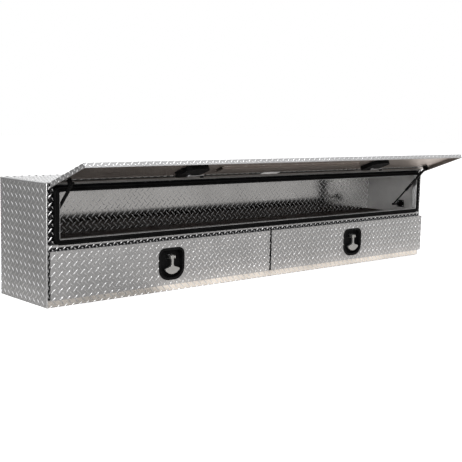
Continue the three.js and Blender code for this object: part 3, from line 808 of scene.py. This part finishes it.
class TOOLBOX_OT_sheet_metal(bpy.types.Operator):
    """Gives the body sheets, door pan and drawer fronts rounded edges and their two finishes"""
    bl_idname = "toolbox.sheet_metal"
    bl_label = "Sheet Metal"

    def execute(self, context):
        width = context.scene.tool_box_hardware.edge_round
        left, right, front, back, top = (0, -1), (0, 1), (1, -1), (1, 1), (2, 1)
        low, high = straight_box("body_shell")
        soften("body_shell", "body_wrap", "body", ["plate", "lining"], width,
               choose=lined(low, high, [front, left, right]))
        for side, sign in (("left", 1), ("right", -1)):
            low, high = straight_box(f"{side}_end_panel")
            edge = high.x if sign > 0 else low.x
            soften(f"{side}_end_panel", f"{side}_end_sheet", "body",
                   ["plate", "lit_end_lining"], width, choose=behind(0, sign, edge))
            low, high = straight_box(f"{side}_drawer_front")
            # the third finish puts painted shade on the drawer's outer side flanges
            soften(f"{side}_drawer_front", f"{side}_drawer_pan", f"{side}_drawer",
                   ["plate", "lining", "shaded_flange"], width, choose=lined(low, high, [back], side_finish=2))
        low, high = straight_box("front_frame")
        soften("front_frame", "front_frame_sheet", "body", ["frame", "shaded"], 0.3 * MM,
               choose=behind(1, 1, high.y))
        low, high = straight_box("door_pan", SHUT)
        soften("door_pan", "door_pan_sheet", "door", ["plate", "underside"], width,
               choose=lined(low, high, [back, top]), to_straight=SHUT)
        soften("opening_collar", "opening_collar_sheet", "body", ["plate"], 0.6 * MM)
        soften("door_stiffener", "door_stiffener_rib", "door", ["underside"], width)
        repaint("compartment_floor", "shaded")
        repaint("drawer_divider", "lining")
        self.edge_rolls(context)
        return {"FINISHED"}

    def edge_rolls(self, context):
        """Round folded seams where the end panels meet the top, the front and the back."""
        size = context.scene.tool_box_hardware
        whole = bmesh.new()
        for side, sign in (("left", -1), ("right", 1)):
            low, high = straight_box(f"{side}_end_panel")
            x = low.x if sign < 0 else high.x
            out = Vector((sign, 0, 0))
            edges = [
                (Vector((x, low.y, high.z)), Vector((x, high.y, high.z)), Vector((0, 0, 1)), size.top_roll),
                (Vector((x, low.y, low.z)), Vector((x, low.y, high.z)), Vector((0, -1, 0)), size.side_roll),
                (Vector((x, high.y, low.z)), Vector((x, high.y, high.z)), Vector((0, 1, 0)), size.side_roll),
            ]
            for start, end, other, radius in edges:
                add_roll(whole, start, end, out, other, radius)
        bmesh.ops.recalc_face_normals(whole, faces=whole.faces)
        mesh = bpy.data.meshes.new("edge_rolls")
        whole.to_mesh(mesh)
        whole.free()
        # painted highlight: the seams take the light lug colour so each bend shows as a bright band
        mesh.materials.append(finish_of("lug"))
        smooth(mesh)
        add_object("edge_rolls", mesh, "body")


def add_roll(work, start, end, out_a, out_b, radius, steps=5):
    """A quarter-round bar that covers a square edge from start to end."""
    inset = (out_a + out_b) * radius
    reach = radius * math.sqrt(2.0)
    rings = []
    for corner in (start, end):
        centre = corner - inset
        ring = [work.verts.new(centre)]
        for i in range(steps + 1):
            angle = math.pi / 2 * i / steps
            ring.append(work.verts.new(centre + reach * (math.cos(angle) * out_a + math.sin(angle) * out_b)))
        rings.append(ring)
    count = len(rings[0])
    for i in range(count):
        j = (i + 1) % count
        work.faces.new((rings[0][i], rings[0][j], rings[1][j], rings[1][i]))
    for ring in rings:
        work.faces.new(ring)


def door_hem(context):
    """Corners, with the door shut, of the folded hem on the door's inner face just below the hinge leaf."""
    low, high = straight_box("door_pan", SHUT)
    leaf_low = straight_box("hinge_door_leaf", SHUT)[0]
    inner = low.y + 2 * MM
    top = leaf_low.z - 0.3 * MM
    return (Vector((low.x + 8 * MM, inner, top - context.scene.tool_box_hardware.hem_width)),
            Vector((high.x - 8 * MM, inner + 0.9 * MM, top)))


class TOOLBOX_OT_tread_lugs(bpy.types.Operator):
    """Raises the tread lugs on every outer face, and their faint relief on the back wall inside"""
    bl_idname = "toolbox.tread_lugs"
    bl_label = "Tread Lugs"

    def execute(self, context):
        tread = context.scene.tool_box_tread
        edge = tread.edge_margin
        low, high = straight_box("body_shell")
        whole_low, whole_high = straight_box("left_end_panel")
        right_high = straight_box("right_end_panel")[1]
        length = high.x - low.x
        y0, y1 = whole_low.y, whole_high.y
        depth = y1 - y0
        height = whole_high.z
        bend = 6 * MM
        roll = 6 * MM
        x, y, z = (1, 0, 0), (0, 1, 0), (0, 0, 1)
        minus_x, minus_y = (-1, 0, 0), (0, -1, 0)
        end_depth = depth - 2 * edge - roll
        end_height = height - 2 * edge - roll
        body = [
            lugs_on((low.x + edge, y0 + edge, height), x, y, length - 2 * edge, depth - bend - edge),
            lugs_on((high.x - edge, y1, bend), minus_x, z, length - 2 * edge, height - 2 * bend),
            lugs_on((whole_low.x, y1 - edge, edge), minus_y, z, end_depth, end_height,
                    relief=tread.end_height),
            lugs_on((right_high.x, y0 + edge + roll, edge), y, z, end_depth, end_height,
                    relief=tread.end_height),
        ]
        seal_low, seal_high = straight_box("door_seal")
        drawer_top = straight_box("left_drawer_front")[1].z
        drawer_low = straight_box("left_drawer_front")[0].z
        strips = [
            (low.x, seal_low.x, drawer_top, height - 0.003),
            (seal_high.x, high.x, drawer_top, height - 0.003),
            (seal_low.x, seal_high.x, drawer_top, seal_low.z),
            (low.x, high.x, edge, drawer_low),
        ]
        for x0, x1, z0, z1 in strips:
            body.append(lugs_on((x0 + 0.5 * MM, y0, z0), x, z, x1 - x0 - 1 * MM, z1 - z0,
                                relief=tread.frame_height))
        body_mesh = joined(body, "body_tread_lugs")
        smooth(body_mesh)
        add_object("body_tread_lugs", body_mesh, "body")

        floor_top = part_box("compartment_floor")[1].z
        back_inner = high.y - 0.002
        # the lug colour makes this faint relief lighter than the lining round it, partly a painted highlight
        wall = lugs_on((low.x + 0.003, back_inner, floor_top + 0.002), x, z, length - 0.006,
                       height - 0.002 - floor_top - 0.004, relief=tread.lining_height)
        smooth(wall)
        add_object("back_wall_relief", wall, "body")

        for side in SIDES:
            low, high = straight_box(f"{side}_drawer_front")
            dish_low, dish_high = straight_box(f"{side}_drawer_latch_dish")
            hole = ((dish_low.x + dish_high.x) / 2 - low.x, (dish_low.z + dish_high.z) / 2 - low.z,
                    *DISH_HALF_HOLE)
            tall = high.z - low.z - 2 * edge
            deep = high.y - low.y - 2 * edge
            mesh = joined([
                lugs_on((low.x + edge, low.y, low.z + edge), x, z, high.x - low.x - 2 * edge, tall,
                        hole=hole),
                lugs_on((low.x, high.y - edge, low.z + edge), minus_y, z, deep, tall, relief=0.7 * MM),
                lugs_on((high.x, low.y + edge, low.z + edge), y, z, deep, tall, relief=0.7 * MM),
            ], f"{side}_drawer_lugs")
            smooth(mesh)
            add_object(f"{side}_drawer_tread_lugs", mesh, f"{side}_drawer")

        low, high = straight_box("door_pan", SHUT)
        door = []
        middle = (low.x + high.x) / 2
        for x0, x1, side in ((low.x + edge, middle, "left"), (middle, high.x - edge, "right")):
            dish_low, dish_high = straight_box(f"door_{side}_latch_dish", SHUT)
            hole = ((dish_low.x + dish_high.x) / 2 - x0, (dish_low.z + dish_high.z) / 2 - low.z - edge,
                    *DISH_HALF_HOLE)
            door.append(lugs_on((x0, low.y, low.z + edge), x, z, x1 - x0, high.z - low.z - 2 * edge,
                                to_rest=OPEN, hole=hole))
        rim = high.y - low.y - 2 * edge
        door.append(lugs_on((low.x + edge, high.y - edge, low.z), x, minus_y, high.x - low.x - 2 * edge, rim,
                            to_rest=OPEN))
        door.append(lugs_on((low.x, high.y - edge, low.z + edge), minus_y, z, rim, high.z - low.z - 2 * edge,
                            to_rest=OPEN))
        door.append(lugs_on((high.x, low.y + edge, low.z + edge), y, z, rim, high.z - low.z - 2 * edge,
                            to_rest=OPEN))
        hem_low, hem_high = door_hem(context)
        # painted highlight: the hem's lugs take the pale blank-plate paint so they show as a bright dashed
        # line
        door.append(lugs_on((hem_high.x, hem_high.y, hem_low.z), minus_x, z, hem_high.x - hem_low.x, 6 * MM,
                            to_rest=OPEN, relief=0.8 * MM, finish="pale"))
        door_mesh = joined(door, "door_tread_lugs")
        smooth(door_mesh)
        add_object("door_tread_lugs", door_mesh, "door")
        return {"FINISHED"}


class TOOLBOX_OT_latches(bpy.types.Operator):
    """Finishes the four flush latches: coated dishes, satin T handles, spindles, cams and their knobs"""
    bl_idname = "toolbox.latches"
    bl_label = "Flush Latches"

    def execute(self, context):
        for side in SIDES:
            self.latch(f"{side}_drawer_latch", f"{side}_drawer", f"{side}_drawer", STRAIGHT, (0, 0, 1))
            self.latch(f"door_{side}_latch", "door", f"door_{side}", SHUT, (1, 0, 0))
        return {"FINISHED"}

    def latch(self, prefix, body, owner, to_straight, along):
        head_low, head_high = straight_box(f"{prefix}_spindle", to_straight)
        head = (head_low + head_high) / 2
        floor = straight_box(f"{prefix}_dish", to_straight)[1].y - 2 * MM
        panel = "door_pan" if body == "door" else f"{body}_front"
        skin = straight_box(panel, to_straight)[0].y + 2.2 * MM
        cheek_out = 12.6 * MM
        cheek_tall = 8.6 * MM

        def choose(point, normal):
            near = abs(point.x - head.x) < cheek_out and abs(point.z - head.z) < cheek_tall
            away = Vector((point.x - head.x, 0, point.z - head.z))
            outward = normal.y > -0.3 and normal.dot(away) > 0.3 * away.length
            behind_skin = point.y > skin and outward
            return 1 if near and point.y < floor - 1 * MM and not behind_skin else 0

        soften(f"{prefix}_dish", f"{prefix}_pan", body, ["black", "handle"], 0.9 * MM, 3,
               choose=choose, to_straight=to_straight)
        soften(f"{prefix}_handle", f"{prefix}_tee", f"{owner}_handle", ["handle"], 1.8 * MM, 3)
        soften(f"{prefix}_spindle", f"{prefix}_lock_barrel", f"{owner}_cam", ["zinc"], 0.6 * MM)
        soften(f"{prefix}_cam", f"{prefix}_cam_bar", f"{owner}_cam", ["zinc"], 0.5 * MM)
        cam_low, cam_high = straight_box(f"{prefix}_cam", to_straight)
        tip = Vector((cam_high.x, cam_low.y, head.z)) if along[0] else Vector((head.x, cam_low.y, cam_high.z))
        tip -= Vector(along) * 8 * MM
        profile = [(0, -0.3), (6.8, -0.3), (7.6, 0.5), (7.6, 7), (6.6, 8.4), (4.5, 9.2), (0, 9.4)]
        work = bmesh.new()
        spin_profile(work, [(r * MM, h * MM) for r, h in profile], tip, 20)
        mesh = bpy.data.meshes.new(f"{prefix}_knob")
        work.to_mesh(mesh)
        work.free()
        mesh.transform(to_straight.inverted())
        mesh.materials.append(finish_of("gloss_black"))
        smooth(mesh)
        add_object(f"{prefix}_knob", mesh, f"{owner}_cam")


def spin_profile(work, profile, centre, steps):
    """Turns a profile of (radius, height) about an axis along Y through centre."""
    rings = []
    for radius, height in profile:
        if radius == 0:
            rings.append([work.verts.new(centre + Vector((0, height, 0)))])
            continue
        ring = []
        for i in range(steps):
            angle = 2 * math.pi * i / steps
            spot = Vector((radius * math.cos(angle), height, radius * math.sin(angle)))
            ring.append(work.verts.new(centre + spot))
        rings.append(ring)
    for first, second in zip(rings, rings[1:]):
        for i in range(steps):
            j = (i + 1) % steps
            corners = [first[i % len(first)], first[j % len(first)],
                       second[j % len(second)], second[i % len(second)]]
            work.faces.new(list(dict.fromkeys(corners)))
    bmesh.ops.recalc_face_normals(work, faces=work.faces)


class TOOLBOX_OT_struts(bpy.types.Operator):
    """Finishes the gas struts and their brackets"""
    bl_idname = "toolbox.struts"
    bl_label = "Gas Struts"

    def execute(self, context):
        for side in SIDES:
            soften(f"{side}_strut_barrel", f"{side}_strut_cylinder", f"{side}_barrel",
                   ["gloss_black"], 0.0004)
            soften(f"{side}_strut_rod", f"{side}_strut_piston_rod", f"{side}_rod",
                   ["gloss_black"], 0.0004)
            soften(f"{side}_strut_wall_bracket", f"{side}_strut_wall_mount", "body",
                   ["black"], 0.5 * MM)
            soften(f"{side}_strut_door_bracket", f"{side}_strut_door_mount", "door",
                   ["black"], 0.5 * MM)
        return {"FINISHED"}


class TOOLBOX_OT_drawer_gear(bpy.types.Operator):
    """Finishes the drawer trays, slide bars and strikers"""
    bl_idname = "toolbox.drawer_gear"
    bl_label = "Drawer Gear"

    def execute(self, context):
        for side in SIDES:
            soften(f"{side}_drawer_tray", f"{side}_drawer_tub", f"{side}_drawer",
                   ["lining"], 0.6 * MM)
            soften(f"{side}_drawer_striker", f"{side}_drawer_keeper", "body", ["zinc"], 0.0004)
            for place in ("outer", "centre"):
                for bar, body in (("fixed", "body"), ("middle", f"{side}_slide_middles"),
                                  ("inner", f"{side}_drawer")):
                    node = f"{side}_{place}_slide_{bar}"
                    soften(node, node + "_bar", body, ["zinc"], 0.0005)
        return {"FINISHED"}


class TOOLBOX_OT_seal(bpy.types.Operator):
    """Runs the twin-bulb rubber seal round the opening"""
    bl_idname = "toolbox.seal"
    bl_label = "Door Seal"

    def execute(self, context):
        corner = context.scene.tool_box_hardware.seal_corner
        low, high = straight_box("door_seal")
        inner = straight_box("opening_collar")
        width = inner[0].x - low.x - 0.3 * MM
        height = high.y - low.y
        bulb = width / 4
        profile = [(-width / 2, 0.0)]
        for centre, first, last in ((-bulb, math.pi, math.radians(28)), (bulb, math.radians(152), 0.0)):
            steps = 7
            for i in range(steps + 1):
                angle = first + (last - first) * i / steps
                profile.append((centre + bulb * math.cos(angle), height - bulb + bulb * math.sin(angle)))
        profile.append((width / 2, 0.0))
        half = width / 2
        path = rounded_path(low.x + half, high.x - half, low.z + half, high.z - half, corner, 8)
        work = bmesh.new()
        rings = []
        for (px, pz), (nx, nz) in path:
            rings.append([work.verts.new((px + nx * u, high.y - v, pz + nz * u)) for u, v in profile])
        for first, second in zip(rings, rings[1:] + rings[:1]):
            for i in range(len(profile)):
                j = (i + 1) % len(profile)
                work.faces.new((first[i], first[j], second[j], second[i]))
        bmesh.ops.recalc_face_normals(work, faces=work.faces)
        mesh = bpy.data.meshes.new("door_bulb_seal")
        work.to_mesh(mesh)
        work.free()
        mesh.materials.append(finish_of("rubber"))
        smooth(mesh, math.radians(50))
        add_object("door_bulb_seal", mesh, "body", ["door_seal"])
        return {"FINISHED"}


def rounded_path(x0, x1, z0, z1, radius, steps):
    """Points and outward directions round a rectangle with rounded corners, in the XZ plane."""
    path = []
    corners = ((x1, z1, 0), (x0, z1, 90), (x0, z0, 180), (x1, z0, 270))
    for cx, cz, start in corners:
        centre_x = cx - radius if cx == x1 else cx + radius
        centre_z = cz - radius if cz == z1 else cz + radius
        for i in range(steps + 1):
            angle = math.radians(start + 90 * i / steps)
            direction = (math.cos(angle), math.sin(angle))
            path.append(((centre_x + radius * direction[0], centre_z + radius * direction[1]), direction))
    return path


class TOOLBOX_OT_hinge(bpy.types.Operator):
    """Builds the piano hinge's leaves and knuckles, the door's hem, and finishes the name plate"""
    bl_idname = "toolbox.hinge"
    bl_label = "Piano Hinge and Hem"

    def execute(self, context):
        pivot = Vector(JOINTS["door_hinge"]["pos_m"])
        body_low, body_high = straight_box("hinge_body_leaf")
        door_low = straight_box("hinge_door_leaf", SHUT)[0]
        barrel = pivot.y - body_low.y
        thick = 1.2 * MM
        x0, x1 = body_low.x, body_high.x
        body_leaf = (Vector((x0, pivot.y + barrel + 0.3 * MM, body_high.z - thick)), body_high.copy())
        door_leaf = (door_low.copy(), Vector((x1, door_low.y + thick, pivot.z - barrel - 0.3 * MM)))
        self.leaf(context, "hinge_body_side", "body", "hinge_body_leaf", body_leaf, pivot, barrel, 0,
                  STRAIGHT)
        self.leaf(context, "hinge_door_side", "door", "hinge_door_leaf", door_leaf, pivot, barrel, 1, OPEN)
        repaint("hinge_pin", "hinge")
        smooth(NODES["hinge_pin"].data)
        self.hem(context)
        soften("blank_name_plate", "name_plate", "door", ["pale"], 0.4 * MM)
        return {"FINISHED"}

    def leaf(self, context, name, body, node, corners, pivot, barrel, first, to_rest):
        low, high = corners
        length = context.scene.tool_box_hardware.knuckle_length
        middle = (low + high) / 2
        values = {
            "Length": high.x - low.x, "Knuckle": length, "Radius": barrel, "First": first,
            "Leaf Size": (high.x - low.x, high.y - low.y, high.z - low.z),
            "Leaf Centre": (0.0, middle.y - pivot.y, middle.z - pivot.z),
            "Material": finish_of("hinge"),
        }
        mesh = run_tree(shared_tree("knuckles"), values)
        mesh.transform(to_rest @ Matrix.Translation((middle.x, pivot.y, pivot.z)))
        smooth(mesh)
        add_object(name, mesh, body, [node])

    def hem(self, context):
        low, high = door_hem(context)
        work = bmesh.new()
        size = high - low
        placed_box = Matrix.Translation((low + high) / 2) @ Matrix.Diagonal((*size, 1))
        bmesh.ops.create_cube(work, size=1.0, matrix=OPEN @ placed_box)
        round_edges(work, 0.35 * MM, 1)
        mesh = bpy.data.meshes.new("door_hem")
        work.to_mesh(mesh)
        work.free()
        mesh.materials.append(finish_of("hinge"))
        smooth(mesh)
        add_object("door_hem", mesh, "door")


class TOOLBOX_OT_rivets(bpy.types.Operator):
    """Sets the rivets of the door's stiffener, the name plate and the strut brackets"""
    bl_idname = "toolbox.rivets"
    bl_label = "Rivets"

    def execute(self, context):
        z, minus_x = (0, 0, 1), (-1, 0, 0)
        low, high = straight_box("door_stiffener", SHUT)
        rows = []
        for height in (low.z + 6 * MM, high.z - 6 * MM):
            rows.append(self.row((high.x - 20 * MM, low.y + 2 * MM, height), minus_x, z,
                                 high.x - low.x - 40 * MM, 9, OPEN))
        low, high = straight_box("blank_name_plate", SHUT)
        rows.append(self.row((high.x - 6 * MM, high.y, (low.z + high.z) / 2), minus_x, z,
                             high.x - low.x - 12 * MM, 2, OPEN, 0.6))
        self.piece("door_rivets", "door", rows)
        rows = []
        for side, sign in (("left", -1), ("right", 1)):
            low, high = straight_box(f"{side}_strut_wall_bracket")
            face = high.x - 3 * MM if sign > 0 else low.x + 3 * MM
            for height in (low.z + 6 * MM, high.z - 6 * MM):
                start = high.y - 6 * MM if sign > 0 else low.y + 6 * MM
                across = (0, -1, 0) if sign > 0 else (0, 1, 0)
                rows.append(self.row((face, start, height), across, z, high.y - low.y - 12 * MM, 2,
                                     STRAIGHT, 0.8))
        self.piece("bracket_rivets", "body", rows)
        return {"FINISHED"}

    def row(self, start, across, up, length, count, to_rest, scale=1.0):
        size = bpy.context.scene.tool_box_hardware
        values = {"Length": length, "Count": count, "Radius": size.rivet_radius * scale,
                  "Head Height": size.rivet_height * scale, "Material": finish_of("zinc")}
        return placed(run_tree(shared_tree("rivets"), values), start, across, up, to_rest)

    def piece(self, name, body, rows):
        mesh = joined(rows, name)
        smooth(mesh, math.radians(60))
        add_object(name, mesh, body)


class TOOLBOX_OT_stage(bpy.types.Operator):
    """Sets the pale floor, the soft studio light and the camera"""
    bl_idname = "toolbox.stage"
    bl_label = "Studio"

    def execute(self, context):
        studio = context.scene.tool_box_studio
        half = studio.floor_size / 2
        mesh = bpy.data.meshes.new("studio_floor")
        corners = [(-half, -half, 0), (half, -half, 0), (half, half, 0), (-half, half, 0)]
        mesh.from_pydata(corners, [], [(0, 1, 2, 3)])
        floor = bpy.data.objects.new("studio_floor", mesh)
        context.scene.collection.objects.link(floor)
        paint = bpy.data.materials.new("Studio Floor")
        paint.use_nodes = True
        tree = paint.node_tree
        shader = tree.nodes["Principled BSDF"]
        shader.inputs["Roughness"].default_value = 0.9
        shader.inputs["Emission Color"].default_value = (1, 1, 1, 1)
        seen = tree.nodes.new("ShaderNodeLightPath").outputs["Is Camera Ray"]
        place = tree.nodes.new("ShaderNodeSeparateXYZ")
        tree.links.new(tree.nodes.new("ShaderNodeTexCoord").outputs["Object"], place.inputs["Vector"])
        side = ramp(tree, place.outputs["X"], -1.35, -1.15, 1.0, 0.0)
        ground = mix_colour(tree, side, tuple(studio.ground), tuple(studio.ground_left))
        tree.links.new(mix_colour(tree, seen, ground, (0.9, 0.9, 0.9)), shader.inputs["Base Color"])
        strip = maths(tree, "MULTIPLY", ramp(tree, place.outputs["Y"], -0.38, -0.34, 0.0, 1.0),
                      ramp(tree, place.outputs["X"], -0.62, -0.50, 0.0, 1.0))
        lit = maths(tree, "MULTIPLY", maths(tree, "SUBTRACT", 1.0, seen), strip)
        glow = maths(tree, "ADD", maths(tree, "MULTIPLY", seen, studio.floor_glow),
                     maths(tree, "MULTIPLY", lit, studio.strip_glow))
        tree.links.new(mix_colour(tree, seen, (1.0, 0.94, 0.88), (1, 1, 1)), shader.inputs["Emission Color"])
        tree.links.new(glow, shader.inputs["Emission Strength"])
        mesh.materials.append(paint)

        world = bpy.data.worlds.new("Studio World")
        world.use_nodes = True
        tree = world.node_tree
        sky = tree.nodes["Background"]
        sky.inputs["Color"].default_value = (1, 1, 1, 1)
        way = tree.nodes.new("ShaderNodeTexCoord").outputs["Generated"]
        height = tree.nodes.new("ShaderNodeSeparateXYZ")
        tree.links.new(way, height.inputs["Vector"])
        glow = ramp(tree, height.outputs["Z"], 0.0, 0.8, studio.horizon_light, studio.sky_light)
        share = ramp(tree, height.outputs["Y"], -0.6, 0.6, studio.front_share, studio.back_share)
        glow = maths(tree, "MULTIPLY", glow, share)
        seen = tree.nodes.new("ShaderNodeLightPath").outputs["Is Camera Ray"]
        unseen = maths(tree, "MULTIPLY", maths(tree, "SUBTRACT", 1.0, seen), glow)
        tree.links.new(maths(tree, "ADD", unseen, seen), sky.inputs["Strength"])
        context.scene.world = world

        for panel in LIGHT_PANELS:
            self.light(context, *panel)

        lens = bpy.data.cameras.new("studio_camera")
        lens.lens = studio.lens
        lens.sensor_width = 36.0
        camera = bpy.data.objects.new("studio_camera", lens)
        turn = (Matrix.Rotation(studio.azimuth, 4, "Z")
                @ Matrix.Rotation(math.pi / 2 - studio.elevation, 4, "X")
                @ Matrix.Rotation(studio.roll, 4, "Z"))
        camera.matrix_world = Matrix.Translation(Vector(studio.place)) @ turn
        context.scene.collection.objects.link(camera)
        context.scene.camera = camera
        context.scene.view_settings.view_transform = "Standard"
        return {"FINISHED"}

    def light(self, context, name, place, size, power):
        data = bpy.data.lights.new(name, "AREA")
        data.shape = "RECTANGLE"
        data.size, data.size_y = size
        data.energy = power
        lamp = bpy.data.objects.new(name, data)
        lamp.location = place
        lamp.rotation_mode = "QUATERNION"
        lamp.rotation_quaternion = (Vector((0, 0, 0.25)) - Vector(place)).to_track_quat("-Z", "Y")
        context.scene.collection.objects.link(lamp)


STEPS = (TOOLBOX_OT_stage, TOOLBOX_OT_sheet_metal, TOOLBOX_OT_tread_lugs, TOOLBOX_OT_seal, TOOLBOX_OT_hinge,
         TOOLBOX_OT_rivets, TOOLBOX_OT_latches, TOOLBOX_OT_struts, TOOLBOX_OT_drawer_gear)


class TOOLBOX_PT_panel(bpy.types.Panel):
    """Lists the tool box's pieces and their settings"""
    bl_idname = "TOOLBOX_PT_panel"
    bl_label = "Truck Tool Box"
    bl_space_type = "VIEW_3D"
    bl_region_type = "UI"
    bl_category = "Tool Box"

    def draw(self, context):
        layout = self.layout
        for step in STEPS:
            layout.operator(step.bl_idname)
        for name, group in SETTINGS:
            box = layout.box()
            box.label(text=group.__name__)
            for field in group.__annotations__:
                box.prop(getattr(context.scene, name), field)


SETTINGS = (
    ("tool_box_tread", ToolBoxTread),
    ("tool_box_hardware", ToolBoxHardware),
    ("tool_box_colours", ToolBoxColours),
    ("tool_box_studio", ToolBoxStudio),
)
CLASSES = tuple(group for _, group in SETTINGS) + STEPS + (TOOLBOX_PT_panel,)


def register():
    for cls in CLASSES:
        bpy.utils.register_class(cls)
    for name, group in SETTINGS:
        setattr(bpy.types.Scene, name, PointerProperty(type=group))


def unregister():
    for name, _ in SETTINGS:
        delattr(bpy.types.Scene, name)
    for cls in reversed(CLASSES):
        bpy.utils.unregister_class(cls)


def main():
    register()
    for step in STEPS:
        group, call = step.bl_idname.split(".")
        getattr(getattr(bpy.ops, group), call)()


if __name__ == "__main__":
    main()
